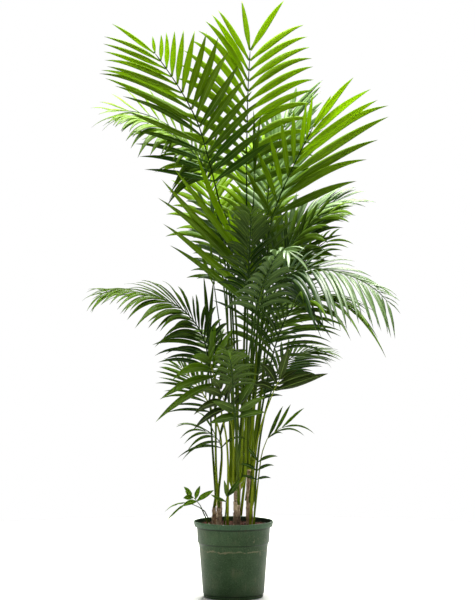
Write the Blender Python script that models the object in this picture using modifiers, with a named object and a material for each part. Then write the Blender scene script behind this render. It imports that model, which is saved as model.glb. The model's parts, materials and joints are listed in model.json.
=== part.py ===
"""A potted kentia palm about two metres tall: several young palms grown together in one nursery pot.

The pot stands on z = 0 with the middle of its base at the origin, and the plant faces -Y.
Metres, +Z up. Every palm leaf is one solid: its stalk, its midrib and the leaflets on both sides.
"""

import math

import bmesh
import bpy
import numpy as np
from mathutils import Vector
from mathutils.bvhtree import BVHTree

# Nursery pot
POT_HEIGHT = 0.258
RIM_RADIUS = 0.135
RIM_BAND_HEIGHT = 0.020
RIM_BAND_WALL = 0.0045
WALL = 0.002
SHOULDER_RADIUS = 0.125
STEP_HEIGHT = 0.185
STEP_DEPTH = 0.0035
HEEL_RADIUS = 0.104
HEEL_HEIGHT = 0.015
FOOT_RADIUS = 0.101
FOOT_GROOVE = (0.078, 0.092)
FOOT_GROOVE_DEPTH = 0.006
FLOOR_THICKNESS = 0.003
DRAIN_HOLES = 8
DRAIN_HOLE_RADIUS = 0.005
POT_SIDES = 40

# Soil
SOIL_TOP = 0.242
SOIL_CROWN = 0.004
GAP = 0.0004

# Leaflets: share of the length at each section, and of the full width there
LEAF_SECTIONS = ((0.26, 1.0), (0.64, 0.82))
LEAF_THICKNESS = 0.0014
LEAF_FOOT = 0.008
LEAF_CLEARANCE = 0.0008
STALK_RADIUS = 0.0045
STALK_SECTIONS = 5
UP = Vector((0, 0, 1))

TONES = {
    "bright": (0.20, 0.42, 0.02),
    "deep": (0.05, 0.16, 0.02),
    "olive": (0.10, 0.15, 0.03),
    "silver": (0.20, 0.32, 0.18),
}


def frond(
    name, route, blade, pairs, reach, spread, face, droop, width,
    tone="deep", tip_face=None, stalk=1.0, right=None,
):
    """One palm leaf.

    route: points from the foot of the stalk to the tip of the blade
    blade: share of the route where the leaflets begin
    reach: leaflet length at the bottom, middle and top of the blade
    spread: angle between leaflet and midrib at the bottom and top, in degrees, then that of
        the last pair if it closes up
    face: the way the upper side looks at the foot of the stalk
    tip_face: the way it looks at the tip, if the leaf is twisted
    droop: how far a leaflet's tip sinks at the bottom and top, as a share of its length
    stalk: thickness of the stalk against STALK_RADIUS
    right: what differs on the right side
    """
    return {
        "name": name,
        "route": route,
        "blade": blade,
        "pairs": pairs,
        "reach": reach,
        "spread": spread,
        "face": Vector(face),
        "tip_face": Vector(tip_face or face),
        "droop": droop,
        "width": width,
        "tone": tone,
        "stalk": stalk,
        "right": right or {},
    }


CANES = [
    # name, foot on the soil, top, radii at foot and top
    ("cane_left", (-0.048, -0.030), (-0.048, -0.030, 0.335), (0.0105, 0.0085)),
    ("cane_middle", (0.012, -0.035), (0.012, -0.045, 0.415), (0.0125, 0.0100)),
    ("cane_right", (0.055, 0.004), (0.055, 0.0, 0.430), (0.0125, 0.0095)),
    ("cane_far_left", (-0.066, 0.018), (-0.066, 0.020, 0.300), (0.0080, 0.0065)),
    ("cane_back", (0.010, 0.060), (0.015, 0.055, 0.400), (0.0120, 0.0095)),
]

FRONDS = [
    frond(
        "frond_top_centre",
        route=[(0.029, 0.04, 0.4), (0.033, 0.053, 0.665), (0.038, 0.055, 0.94), (0.045, 0.061, 1.215),
            (0.045, 0.07, 1.49), (0.05, 0.09, 1.725), (0.06, 0.12, 1.91)],
        blade=0.65, pairs=14, reach=(0.36, 0.44, 0.205), spread=(56, 24, 7), face=(0.0, -1.0, 0.25),
        droop=(0.38, 0.16), width=0.027, tone="bright",
        right={"reach": (0.31, 0.31, 0.235), "spread": (60, 36, 21), "width": 0.026},
    ),
    frond(
        "frond_upper_left",
        route=[(0.003, -0.063, 0.42), (0.015, -0.08, 0.67), (0.01, -0.1, 0.905), (-0.01, -0.13, 1.15),
            (-0.045, -0.15, 1.325), (-0.08, -0.17, 1.465), (-0.115, -0.2, 1.585),
            (-0.16, -0.22, 1.675), (-0.205, -0.24, 1.745), (-0.245, -0.255, 1.8),
            (-0.28, -0.27, 1.845)],
        blade=0.65, pairs=16, reach=(0.24, 0.37, 0.17), spread=(58, 19, 9), face=(-0.25, -0.85, 0.5),
        droop=(0.1, 0.05), width=0.021, tone="bright",
        right={"reach": (0.28, 0.28, 0.055), "spread": (66, 24), "droop": (0.12, 0.0), "width": 0.026},
    ),
    frond(
        "frond_upper_right",
        route=[(0.051, 0.019, 0.435), (0.065, 0, 0.6), (0.08, 0.02, 0.87), (0.095, 0.03, 1.11),
            (0.115, 0.03, 1.23), (0.15, 0.02, 1.34), (0.2, 0, 1.455), (0.255, -0.03, 1.565),
            (0.29, -0.04, 1.63)],
        blade=0.68, pairs=8, reach=(0.2, 0.23, 0.14), spread=(46, 14, 4), face=(0.1, -1.0, 0.45),
        droop=(0.05, 0.03), width=0.019, tone="bright",
        right={"reach": (0.36, 0.47, 0.24), "spread": (42, 18, 8), "droop": (0.14, 0.06), "width": 0.032},
    ),
    frond(
        "frond_back_right",
        route=[(0.045, 0.06, 0.41), (0.08, 0.099, 0.73), (0.104, 0.159, 1.04), (0.115, 0.2, 1.285),
            (0.13, 0.24, 1.445), (0.17, 0.27, 1.595), (0.225, 0.29, 1.725)],
        blade=0.66, pairs=9, reach=(0.18, 0.2, 0.1), spread=(48, 16), face=(-0.3, -0.8, 0.6),
        droop=(0.1, 0.1), width=0.022, tone="silver",
        right={"reach": (0.3, 0.3, 0.16), "spread": (50, 24)},
    ),
    frond(
        "frond_left_arch",
        route=[(-0.005, 0.04, 0.385), (-0.015, 0.03, 0.665), (-0.02, 0.02, 0.94),
            (-0.03, -0.001, 1.145), (-0.055, -0.02, 1.305), (-0.095, -0.05, 1.435),
            (-0.145, -0.08, 1.515), (-0.21, -0.11, 1.565), (-0.295, -0.15, 1.605),
            (-0.38, -0.19, 1.62)],
        blade=0.71, pairs=12, reach=(0.16, 0.23, 0.11), spread=(60, 24), face=(-0.2, -1.0, 0.3),
        tip_face=(-0.1, -0.3, 1.0), droop=(0.6, 0.45), width=0.022,
        right={"reach": (0.2, 0.24, 0.12), "width": 0.026},
    ),
    frond(
        "frond_left_wisp",
        route=[(-0.003, 0.067, 0.375), (0, 0.06, 0.665), (-0.01, 0.07, 0.94), (-0.025, 0.07, 1.18),
            (-0.065, 0.06, 1.365), (-0.12, 0.05, 1.495), (-0.185, 0.04, 1.575), (-0.26, 0.03, 1.625),
            (-0.34, 0.02, 1.65), (-0.43, 0, 1.65)],
        blade=0.72, pairs=11, reach=(0.18, 0.19, 0.08), spread=(52, 16), face=(-0.2, -0.6, 1.0),
        droop=(0.25, 0.2), width=0.013, tone="bright",
        right={"reach": (0.16, 0.18, 0.1), "spread": (52, 30), "droop": (0.1, 0.05)},
    ),
    frond(
        "frond_mid_left",
        route=[(0.032, -0.045, 0.42), (0.054, -0.068, 0.605), (0.085, -0.09, 0.79),
            (0.085, -0.11, 0.925), (0.065, -0.14, 1.04), (0.035, -0.16, 1.135), (0.005, -0.17, 1.215)],
        blade=0.66, pairs=6, reach=(0.38, 0.5, 0.37), spread=(38, 16, 7), face=(-0.1, -1.0, 0.3),
        droop=(0.03, 0.0), width=0.026, tone="bright",
        right={"reach": (0.22, 0.22, 0.14), "spread": (26, 6), "width": 0.018},
    ),
    frond(
        "frond_low_left",
        route=[(-0.053, -0.047, 0.34), (-0.06, -0.05, 0.47), (-0.06, -0.07, 0.605),
            (-0.075, -0.1, 0.755), (-0.1, -0.13, 0.88), (-0.15, -0.17, 0.96), (-0.215, -0.21, 1.005),
            (-0.29, -0.25, 1.03), (-0.375, -0.29, 1.04), (-0.45, -0.33, 1.025)],
        blade=0.42, pairs=16, reach=(0.2, 0.29, 0.08), spread=(50, 18), face=(-0.3, -1.0, 0.3),
        tip_face=(0.0, -0.15, 1.0), droop=(0.4, 0.35), width=0.019,
        right={"reach": (0.18, 0.22, 0.07), "spread": (45, 16)},
    ),
    frond(
        "frond_right_arch",
        route=[(0.065, -0.02, 0.43), (0.085, -0.03, 0.6), (0.105, -0.05, 0.82), (0.125, -0.08, 0.99),
            (0.16, -0.1, 1.07), (0.23, -0.13, 1.11), (0.305, -0.16, 1.11), (0.395, -0.2, 1.085),
            (0.47, -0.23, 1.04), (0.525, -0.26, 0.98)],
        blade=0.52, pairs=12, reach=(0.2, 0.18, 0.05), spread=(56, 14), face=(0.3, -1.0, 0.3),
        tip_face=(0.0, -0.15, 1.0), droop=(0.3, 0.3), width=0.018, tone="silver",
        right={"reach": (0.22, 0.24, 0.09), "spread": (72, 24), "droop": (0.6, 0.5), "width": 0.02},
    ),
    frond(
        "frond_right_low",
        route=[(0.065, -0.035, 0.41), (0.085, -0.05, 0.57), (0.11, -0.07, 0.72), (0.135, -0.09, 0.835),
            (0.165, -0.11, 0.925), (0.195, -0.13, 0.98), (0.245, -0.16, 1.01), (0.305, -0.19, 1.02),
            (0.355, -0.21, 1.01)],
        blade=0.5, pairs=10, reach=(0.12, 0.18, 0.14), spread=(52, 14), face=(0.3, -1.0, 0.4),
        tip_face=(0.1, -0.3, 1.0), droop=(0.2, 0.3), width=0.016,
        right={"reach": (0.2, 0.31, 0.24), "spread": (58, 22), "droop": (0.3, 0.45)},
    ),
    frond(
        "frond_right_mid",
        route=[(0.042, 0.042, 0.435), (0.069, 0.052, 0.665), (0.095, 0.06, 0.905), (0.12, 0.06, 1.055),
            (0.16, 0.05, 1.15), (0.216, 0.032, 1.22), (0.281, 0.012, 1.275), (0.345, -0.02, 1.315)],
        blade=0.6, pairs=10, reach=(0.22, 0.24, 0.12), spread=(48, 14), face=(0.1, -0.6, 1.0),
        droop=(0.35, 0.3), width=0.023,
    ),
    frond(
        "frond_right_high",
        route=[(0.035, 0.07, 0.425), (0.07, 0.11, 0.695), (0.111, 0.151, 0.97), (0.155, 0.19, 1.165),
            (0.225, 0.22, 1.27), (0.31, 0.24, 1.335), (0.405, 0.26, 1.37)],
        blade=0.58, pairs=10, reach=(0.22, 0.24, 0.13), spread=(44, 12), face=(0.2, -0.5, 1.0),
        droop=(0.3, 0.2), width=0.02, tone="silver",
    ),
    frond(
        "young_leaf_left",
        route=[(-0.06, 0.001, 0.335), (-0.075, 0, 0.565), (-0.085, -0.01, 0.785),
            (-0.085, -0.01, 0.89)],
        blade=0.92, pairs=1, reach=(0.23, 0.23, 0.23), spread=(4, 4), face=(0.3, -1.0, 0.0),
        droop=(0.0, 0.0), width=0.014,
    ),
    frond(
        "frond_inner_left",
        route=[(0.01, 0.019, 0.405), (0.01, 0.02, 0.665), (0, 0.015, 0.905), (-0.01, 0.01, 1.075),
            (-0.04, 0.001, 1.21), (-0.08, -0.01, 1.3), (-0.125, -0.02, 1.355)],
        blade=0.64, pairs=7, reach=(0.14, 0.17, 0.08), spread=(52, 18), face=(-0.2, -0.8, 0.7),
        droop=(0.3, 0.3), width=0.017, tone="silver",
    ),
    frond(
        "frond_inner_right",
        route=[(0.062, 0.026, 0.42), (0.07, 0.021, 0.63), (0.095, 0.025, 0.835), (0.13, 0.03, 1.005),
            (0.18, 0.03, 1.135), (0.238, 0.018, 1.24), (0.31, 0.01, 1.32)],
        blade=0.56, pairs=9, reach=(0.17, 0.19, 0.1), spread=(50, 16), face=(0.2, -1.0, 0.5),
        droop=(0.25, 0.25), width=0.016, right={"reach": (0.2, 0.26, 0.14), "spread": (44, 14)},
    ),
    frond(
        "frond_core_dark",
        route=[(0.043, -0.057, 0.435), (0.053, -0.087, 0.64), (0.07, -0.12, 0.84),
            (0.095, -0.15, 1.01), (0.11, -0.18, 1.135), (0.115, -0.21, 1.24), (0.11, -0.24, 1.32)],
        blade=0.56, pairs=11, reach=(0.12, 0.15, 0.09), spread=(56, 18), face=(0.1, -1.0, 0.3),
        droop=(0.25, 0.2), width=0.012, right={"reach": (0.14, 0.19, 0.1), "spread": (52, 18)},
    ),
    frond(
        "frond_core_left",
        route=[(0.015, 0.031, 0.425), (0.031, 0.038, 0.665), (0.047, 0.046, 0.87),
            (0.045, 0.048, 1.005), (0.02, 0.04, 1.135), (-0.01, 0.03, 1.225), (-0.06, 0.02, 1.295)],
        blade=0.56, pairs=10, reach=(0.15, 0.19, 0.1), spread=(50, 16), face=(-0.1, -1.0, 0.4),
        droop=(0.2, 0.15), width=0.011, right={"reach": (0.12, 0.15, 0.08), "spread": (46, 16)},
    ),
    frond(
        "frond_core_right",
        route=[(0.055, 0.045, 0.41), (0.085, 0.06, 0.63), (0.12, 0.07, 0.835), (0.16, 0.07, 0.985),
            (0.21, 0.06, 1.09), (0.27, 0.05, 1.17), (0.34, 0.03, 1.225)],
        blade=0.55, pairs=11, reach=(0.14, 0.17, 0.09), spread=(52, 16), face=(0.2, -0.8, 0.7),
        droop=(0.3, 0.3), width=0.012, right={"reach": (0.14, 0.18, 0.1), "spread": (46, 14)},
    ),
    frond(
        "spear_middle",
        route=[(-0.01, -0.03, 0.39), (-0.01, -0.035, 0.57), (-0.025, -0.04, 0.755),
            (-0.05, -0.04, 0.945), (-0.07, -0.045, 1.09)],
        blade=0.93, pairs=1, reach=(0.16, 0.16, 0.16), spread=(3, 3), face=(0.3, -1.0, 0.0),
        droop=(0.0, 0.0), width=0.012,
    ),
    frond(
        "spear_tall",
        route=[(0.049, 0.032, 0.401), (0.056, 0.032, 0.665), (0.065, 0.04, 0.975),
            (0.065, 0.04, 1.265), (0.075, 0.045, 1.485)],
        blade=0.93, pairs=1, reach=(0.22, 0.22, 0.22), spread=(3, 3), face=(0.3, -1.0, 0.0),
        droop=(0.0, 0.0), width=0.012, tone="bright",
    ),
    frond(
        "frond_low_right_fan",
        route=[(0.06, -0.05, 0.305), (0.075, -0.07, 0.505), (0.11, -0.09, 0.64), (0.14, -0.11, 0.715),
            (0.165, -0.13, 0.76)],
        blade=0.84, pairs=3, reach=(0.1, 0.13, 0.15), spread=(74, 30, 16), face=(0.1, -1.0, 0.3),
        droop=(0.5, 0.1), width=0.03, tone="olive",
        right={"reach": (0.22, 0.15, 0.08), "spread": (42, 24), "droop": (0.05, 0.15)},
    ),
    frond(
        "frond_low_right_spray",
        route=[(0.068, -0.014, 0.33), (0.095, 0, 0.565), (0.14, 0.02, 0.73), (0.185, 0.04, 0.8),
            (0.245, 0.06, 0.83), (0.32, 0.07, 0.83)],
        blade=0.62, pairs=8, reach=(0.13, 0.15, 0.07), spread=(50, 14), face=(0.2, -0.8, 0.6),
        tip_face=(0.1, -0.3, 1.0), droop=(0.3, 0.3), width=0.013, right={"reach": (0.18, 0.18, 0.08)},
    ),
    frond(
        "frond_front_left_fan",
        route=[(-0.02, -0.085, 0.27), (-0.02, -0.09, 0.505), (-0.045, -0.11, 0.655),
            (-0.06, -0.14, 0.735), (-0.075, -0.17, 0.795), (-0.085, -0.2, 0.84)],
        blade=0.76, pairs=5, reach=(0.21, 0.22, 0.11), spread=(84, 18), face=(-0.1, -0.6, 0.8),
        droop=(0.3, 0.15), width=0.033, right={"reach": (0.15, 0.18, 0.12), "droop": (0.1, 0.1)},
    ),
    frond(
        "frond_front_mid_fan",
        route=[(0, -0.07, 0.395), (0, -0.1, 0.54), (-0.015, -0.13, 0.625), (-0.035, -0.16, 0.685),
            (-0.045, -0.18, 0.73)],
        blade=0.7, pairs=4, reach=(0.13, 0.14, 0.1), spread=(66, 22), face=(0.1, -0.8, 0.5),
        droop=(0.35, 0.2), width=0.03, tone="olive",
        right={"reach": (0.16, 0.18, 0.12), "spread": (60, 24)},
    ),
    frond(
        "frond_front_dark_fan",
        route=[(0.015, -0.08, 0.425), (0.02, -0.11, 0.54), (0.015, -0.14, 0.625), (0.02, -0.17, 0.675)],
        blade=0.7, pairs=3, reach=(0.1, 0.12, 0.12), spread=(75, 30), face=(0.2, -1.0, 0.3),
        droop=(0.15, 0.1), width=0.034,
    ),
    frond(
        "leaf_small_right",
        route=[(0.075, -0.03, 0.315), (0.09, -0.05, 0.45), (0.105, -0.06, 0.525), (0.135, -0.07, 0.56),
            (0.18, -0.08, 0.59)],
        blade=0.7, pairs=3, reach=(0.125, 0.12, 0.115), spread=(22, 12, 4), face=(0.2, -0.7, 0.8),
        stalk=0.7, droop=(0.05, 0.05), width=0.015,
        right={"reach": (0.1, 0.13, 0.13), "spread": (18, 26, 16), "droop": (0.35, 0.45), "width": 0.008},
    ),
    frond(
        "leaf_small_left",
        route=[(-0.05, -0.059, 0.335), (-0.045, -0.06, 0.435), (-0.04, -0.075, 0.505),
            (-0.06, -0.09, 0.55), (-0.105, -0.11, 0.575)],
        blade=0.6, pairs=5, reach=(0.16, 0.19, 0.13), spread=(54, 20), face=(-0.1, -0.6, 0.8),
        stalk=0.7, droop=(0.5, 0.4), width=0.011,
    ),
    frond(
        "frond_left_lower",
        route=[(-0.055, -0.011, 0.33), (-0.04, 0, 0.465), (-0.05, 0.01, 0.57), (-0.09, 0.02, 0.665),
            (-0.14, 0.03, 0.735), (-0.195, 0.04, 0.795)],
        blade=0.55, pairs=6, reach=(0.16, 0.19, 0.08), spread=(50, 16), face=(-0.3, -0.7, 0.8),
        droop=(0.2, 0.15), width=0.012, right={"reach": (0.15, 0.16, 0.06)},
    ),
    frond(
        "seedling_left",
        route=[(-0.09, -0.07, 0.265), (-0.1, -0.075, 0.29), (-0.11, -0.08, 0.315),
            (-0.125, -0.085, 0.335), (-0.145, -0.09, 0.355)],
        blade=0.66, pairs=4, reach=(0.052, 0.058, 0.048), spread=(50, 26, 8), face=(-0.1, -1.0, 0.35),
        droop=(0.1, 0.05), width=0.019, stalk=0.5,
        right={"reach": (0.075, 0.046, 0.046), "spread": (96, 24, 12)},
    ),
    frond(
        "seedling_long",
        route=[(-0.085, -0.055, 0.27), (-0.1, -0.06, 0.3), (-0.125, -0.065, 0.32),
            (-0.165, -0.07, 0.325), (-0.205, -0.08, 0.3)],
        blade=0.3, pairs=1, reach=(0.078, 0.078, 0.078), spread=(7, 7), face=(0.0, -0.4, 1.0),
        droop=(0.45, 0.45), width=0.012, stalk=0.5,
    ),
    frond(
        "seedling_front",
        route=[(-0.03, -0.095, 0.265), (-0.025, -0.1, 0.305), (-0.025, -0.1, 0.335),
            (-0.02, -0.1, 0.36)],
        blade=0.62, pairs=2, reach=(0.055, 0.072, 0.07), spread=(66, 20), face=(0.0, -1.0, 0.2),
        droop=(0.0, 0.0), width=0.013, stalk=0.6,
        right={"reach": (0.05, 0.08, 0.08), "spread": (50, 26), "width": 0.019},
    ),
    frond(
        "leaf_base_right",
        route=[(0.07, -0.07, 0.275), (0.075, -0.075, 0.37), (0.08, -0.08, 0.455), (0.09, -0.085, 0.48)],
        blade=0.55, pairs=3, reach=(0.06, 0.08, 0.09), spread=(60, 40), face=(0.0, -1.0, 0.3),
        stalk=0.7, droop=(0.35, 0.35), width=0.012,
    ),
    frond(
        "frond_front_low",
        route=[(0.015, -0.095, 0.405), (0.01, -0.14, 0.54), (0, -0.2, 0.68), (-0.005, -0.27, 0.775),
            (-0.015, -0.34, 0.835), (-0.025, -0.41, 0.85)],
        blade=0.58, pairs=8, reach=(0.11, 0.13, 0.08), spread=(56, 20), face=(0.0, -0.2, 1.0),
        droop=(0.4, 0.4), width=0.015, right={"reach": (0.09, 0.1, 0.07)},
    ),
    frond(
        "frond_front_mid",
        route=[(0.038, -0.067, 0.419), (0.042, -0.099, 0.675), (0.045, -0.16, 0.91),
            (0.05, -0.24, 1.105), (0.055, -0.33, 1.24), (0.055, -0.42, 1.305)],
        blade=0.62, pairs=9, reach=(0.14, 0.17, 0.1), spread=(54, 20), face=(0.0, -0.3, 1.0),
        droop=(0.3, 0.3), width=0.018,
    ),
    frond(
        "frond_back_far",
        route=[(0.014, 0.086, 0.365), (0.01, 0.13, 0.66), (0, 0.19, 0.9), (-0.015, 0.27, 1.13),
            (-0.025, 0.36, 1.3), (-0.035, 0.46, 1.39)],
        blade=0.62, pairs=9, reach=(0.18, 0.21, 0.11), spread=(54, 20), face=(-0.1, -0.3, 1.0),
        droop=(0.3, 0.25), width=0.02,
    ),
    frond(
        "frond_back_foot",
        route=[(0.035, 0.1, 0.35), (0.055, 0.16, 0.52), (0.07, 0.23, 0.655), (0.085, 0.31, 0.75),
            (0.09, 0.4, 0.79)],
        blade=0.56, pairs=8, reach=(0.13, 0.16, 0.09), spread=(54, 20), face=(0.1, -0.2, 1.0),
        droop=(0.35, 0.3), width=0.017,
    ),
    frond(
        "frond_back_high",
        route=[(0.021, 0.077, 0.38), (0.03, 0.11, 0.66), (0.04, 0.15, 0.935), (0.055, 0.2, 1.18),
            (0.07, 0.26, 1.36), (0.08, 0.33, 1.495), (0.085, 0.4, 1.58)],
        blade=0.64, pairs=8, reach=(0.2, 0.22, 0.12), spread=(52, 20), face=(0.0, -0.3, 1.0),
        droop=(0.25, 0.2), width=0.022, tone="bright",
    ),
    frond(
        "frond_back_side",
        route=[(0.008, 0.096, 0.36), (-0.005, 0.14, 0.555), (-0.025, 0.2, 0.71), (-0.045, 0.27, 0.82),
            (-0.07, 0.34, 0.88), (-0.095, 0.41, 0.89)],
        blade=0.58, pairs=7, reach=(0.15, 0.17, 0.1), spread=(54, 20), face=(-0.1, -0.2, 1.0),
        droop=(0.35, 0.3), width=0.018,
    ),
    frond(
        "frond_front_arch",
        route=[(0.024, -0.063, 0.42), (0.035, -0.115, 0.64), (0.055, -0.19, 0.86),
            (0.085, -0.27, 1.025), (0.125, -0.35, 1.13), (0.16, -0.43, 1.17), (0.185, -0.49, 1.15)],
        blade=0.6, pairs=8, reach=(0.16, 0.16, 0.1), spread=(60, 20), face=(0.0, -0.2, 1.0),
        droop=(0.4, 0.4), width=0.02, tone="silver",
    ),
    frond(
        "frond_back_left",
        route=[(0, 0.079, 0.39), (-0.005, 0.12, 0.66), (-0.02, 0.16, 0.9), (-0.04, 0.22, 1.11),
            (-0.07, 0.29, 1.29), (-0.095, 0.36, 1.435), (-0.13, 0.43, 1.55)],
        blade=0.66, pairs=7, reach=(0.2, 0.22, 0.12), spread=(55, 20), face=(-0.1, -0.3, 1.0),
        droop=(0.25, 0.2), width=0.024, tone="bright",
    ),
    frond(
        "frond_back_mid",
        route=[(0.035, 0.085, 0.385), (0.055, 0.13, 0.695), (0.08, 0.2, 0.97), (0.1, 0.28, 1.185),
            (0.115, 0.36, 1.345), (0.13, 0.44, 1.46)],
        blade=0.62, pairs=8, reach=(0.22, 0.24, 0.13), spread=(55, 20), face=(0.1, -0.3, 1.0),
        droop=(0.3, 0.2), width=0.024,
    ),
    frond(
        "frond_back_low",
        route=[(0.022, 0.096, 0.365), (0.045, 0.15, 0.59), (0.08, 0.22, 0.795), (0.12, 0.3, 0.935),
            (0.165, 0.38, 1.005), (0.205, 0.45, 1.02)],
        blade=0.6, pairs=7, reach=(0.18, 0.2, 0.12), spread=(55, 20), face=(0.1, -0.2, 1.0),
        droop=(0.35, 0.3), width=0.022,
    ),
]


class Route:
    """A smooth curve through a few points, read by the share of its length."""

    STEPS = 12

    def __init__(self, points):
        knots = [Vector(p) for p in points]
        knots = [2 * knots[0] - knots[1], *knots, 2 * knots[-1] - knots[-2]]
        self.line = []
        for a, b, c, d in zip(knots, knots[1:], knots[2:], knots[3:]):
            for step in range(self.STEPS):
                t = step / self.STEPS
                bend = (2 * a - 5 * b + 4 * c - d) * t**2 + (3 * b - a - 3 * c + d) * t**3
                self.line.append(0.5 * (2 * b + (c - a) * t + bend))
        self.line.append(knots[-2])
        self.run = [0.0]
        for a, b in zip(self.line, self.line[1:]):
            self.run.append(self.run[-1] + (b - a).length)
        self.length = self.run[-1]

    def point(self, share):
        want = min(max(share, 0.0), 1.0) * self.length
        last = len(self.run) - 2
        index = min(max(int(np.searchsorted(self.run, want, "right")) - 1, 0), last)
        part = (want - self.run[index]) / (self.run[index + 1] - self.run[index])
        return self.line[index].lerp(self.line[index + 1], part)

    def heading(self, share):
        ahead = self.point(share + 0.02) - self.point(share - 0.02)
        return ahead.normalized()


def new_collection(name):
    made = bpy.data.collections.new(name)
    bpy.context.scene.collection.children.link(made)
    return made


def material(name, colour, roughness):
    made = bpy.data.materials.new(name)
    made.use_nodes = True
    shader = made.node_tree.nodes["Principled BSDF"]
    shader.inputs["Base Color"].default_value = (*colour, 1)
    shader.inputs["Roughness"].default_value = roughness
    shader.inputs["Metallic"].default_value = 0.0
    made.diffuse_color = (*colour, 1)
    return made


def add_object(name, bm, collection, finish):
    """The bmesh as a smooth-shaded object with its own material."""
    mesh = bpy.data.meshes.new(name)
    bmesh.ops.recalc_face_normals(bm, faces=bm.faces)
    bm.to_mesh(mesh)
    bm.free()
    mesh.shade_smooth()
    mesh.set_sharp_from_angle(angle=math.radians(40))
    mesh.materials.append(finish)
    made = bpy.data.objects.new(name, mesh)
    collection.objects.link(made)
    return made


def turned(name, profile, collection, finish):
    """A profile at +X, outer side from top to bottom, turned about Z."""
    bm = bmesh.new()
    points = [bm.verts.new((r, 0, z)) for r, z in profile]
    for a, b in zip(points, points[1:]):
        bm.edges.new((a, b))
    mesh = bpy.data.meshes.new(name)
    bm.to_mesh(mesh)
    bm.free()
    mesh.materials.append(finish)
    made = bpy.data.objects.new(name, mesh)
    collection.objects.link(made)
    screw = made.modifiers.new("Turn", "SCREW")
    screw.steps = POT_SIDES
    screw.render_steps = POT_SIDES
    screw.use_merge_vertices = True
    screw.merge_threshold = 0.00001
    screw.use_smooth_shade = True
    return made


def wall_radius(height):
    """Outer radius of the pot's tapered wall at a height."""
    if height >= STEP_HEIGHT:
        share = (height - STEP_HEIGHT) / (POT_HEIGHT - RIM_BAND_HEIGHT - STEP_HEIGHT)
        lower = SHOULDER_RADIUS - STEP_DEPTH
        return lower + share * (SHOULDER_RADIUS - lower)
    share = (height - HEEL_HEIGHT) / (STEP_HEIGHT - HEEL_HEIGHT)
    upper = SHOULDER_RADIUS - 2 * STEP_DEPTH
    return HEEL_RADIUS + share * (upper - HEEL_RADIUS)


def make_pot(collection, cutters):
    plastic = material("pot_plastic", (0.045, 0.085, 0.045), 0.5)
    band_foot = POT_HEIGHT - RIM_BAND_HEIGHT
    groove_in, groove_out = FOOT_GROOVE
    outer = [
        (RIM_RADIUS - 0.0025, POT_HEIGHT),
        (RIM_RADIUS - 0.0005, POT_HEIGHT - 0.0015),
        (RIM_RADIUS, POT_HEIGHT - 0.005),
        (RIM_RADIUS - 0.0010, band_foot + 0.002),
        (RIM_RADIUS - 0.0030, band_foot),
        (SHOULDER_RADIUS, band_foot - 0.001),
        (wall_radius(STEP_HEIGHT), STEP_HEIGHT),
        (wall_radius(STEP_HEIGHT - 0.001), STEP_HEIGHT - 0.004),
        (HEEL_RADIUS, HEEL_HEIGHT),
        (FOOT_RADIUS, HEEL_HEIGHT - 0.004),
        (FOOT_RADIUS, 0.0015),
        (FOOT_RADIUS - 0.0015, 0),
        (groove_out, 0),
        (groove_out - 0.002, FOOT_GROOVE_DEPTH),
        (groove_in + 0.002, FOOT_GROOVE_DEPTH),
        (groove_in, 0),
        (0, 0),
    ]
    inner = [
        (0, FLOOR_THICKNESS),
        (groove_in - WALL, FLOOR_THICKNESS),
        (groove_in, FOOT_GROOVE_DEPTH + FLOOR_THICKNESS),
        (FOOT_RADIUS - WALL, FOOT_GROOVE_DEPTH + FLOOR_THICKNESS),
        (HEEL_RADIUS - WALL, HEEL_HEIGHT),
        (wall_radius(STEP_HEIGHT - 0.001) - WALL, STEP_HEIGHT - 0.006),
        (wall_radius(STEP_HEIGHT) - WALL, STEP_HEIGHT - 0.002),
        (SHOULDER_RADIUS - WALL, band_foot - 0.001),
        (RIM_RADIUS - RIM_BAND_WALL - 0.0020, band_foot + 0.003),
        (RIM_RADIUS - RIM_BAND_WALL, POT_HEIGHT - 0.001),
        (RIM_RADIUS - 0.0025, POT_HEIGHT),
    ]
    pot = turned("nursery_pot", outer + inner, collection, plastic)
    middle = sum(FOOT_GROOVE) / 2
    for index in range(DRAIN_HOLES):
        angle = (index + 0.5) * math.tau / DRAIN_HOLES
        bpy.ops.mesh.primitive_cylinder_add(
            vertices=12,
            radius=DRAIN_HOLE_RADIUS,
            depth=0.03,
            location=(middle * math.cos(angle), middle * math.sin(angle), FOOT_GROOVE_DEPTH),
        )
        cutter = bpy.context.object
        cutter.name = f"drain_cutter_{index + 1}"
        for owner in cutter.users_collection:
            owner.objects.unlink(cutter)
        cutters.objects.link(cutter)
        cutter.hide_render = True
        cutter.display_type = "WIRE"
    drain = pot.modifiers.new("Drain", "BOOLEAN")
    drain.operation = "DIFFERENCE"
    drain.operand_type = "COLLECTION"
    drain.collection = cutters
    drain.solver = "EXACT"
    return pot


def make_soil(collection):
    peat = material("soil_peat", (0.035, 0.018, 0.010), 0.95)
    floor = FOOT_GROOVE_DEPTH + FLOOR_THICKNESS + GAP
    inside = WALL + GAP
    profile = [
        (0, SOIL_TOP + SOIL_CROWN),
        (0.05, SOIL_TOP + SOIL_CROWN * 0.7),
        (0.10, SOIL_TOP + SOIL_CROWN * 0.1),
        (wall_radius(SOIL_TOP) - inside - 0.001, SOIL_TOP),
        (wall_radius(STEP_HEIGHT) - inside - 0.0003, STEP_HEIGHT - 0.0015),
        (wall_radius(STEP_HEIGHT - 0.001) - inside - 0.0003, STEP_HEIGHT - 0.006),
        (HEEL_RADIUS - inside - 0.0003, HEEL_HEIGHT),
        (FOOT_RADIUS - inside - 0.001, floor),
        (FOOT_GROOVE[0] - 0.001, floor),
        (FOOT_GROOVE[0] - WALL - 0.001, FLOOR_THICKNESS + GAP),
        (0, FLOOR_THICKNESS + GAP),
    ]
    return turned("soil", profile, collection, peat)


def soil_height(x, y):
    """Height just clear of the soil under a point."""
    return SOIL_TOP + SOIL_CROWN + GAP - 0.02 * max(math.hypot(x, y) - 0.05, 0)


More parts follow.
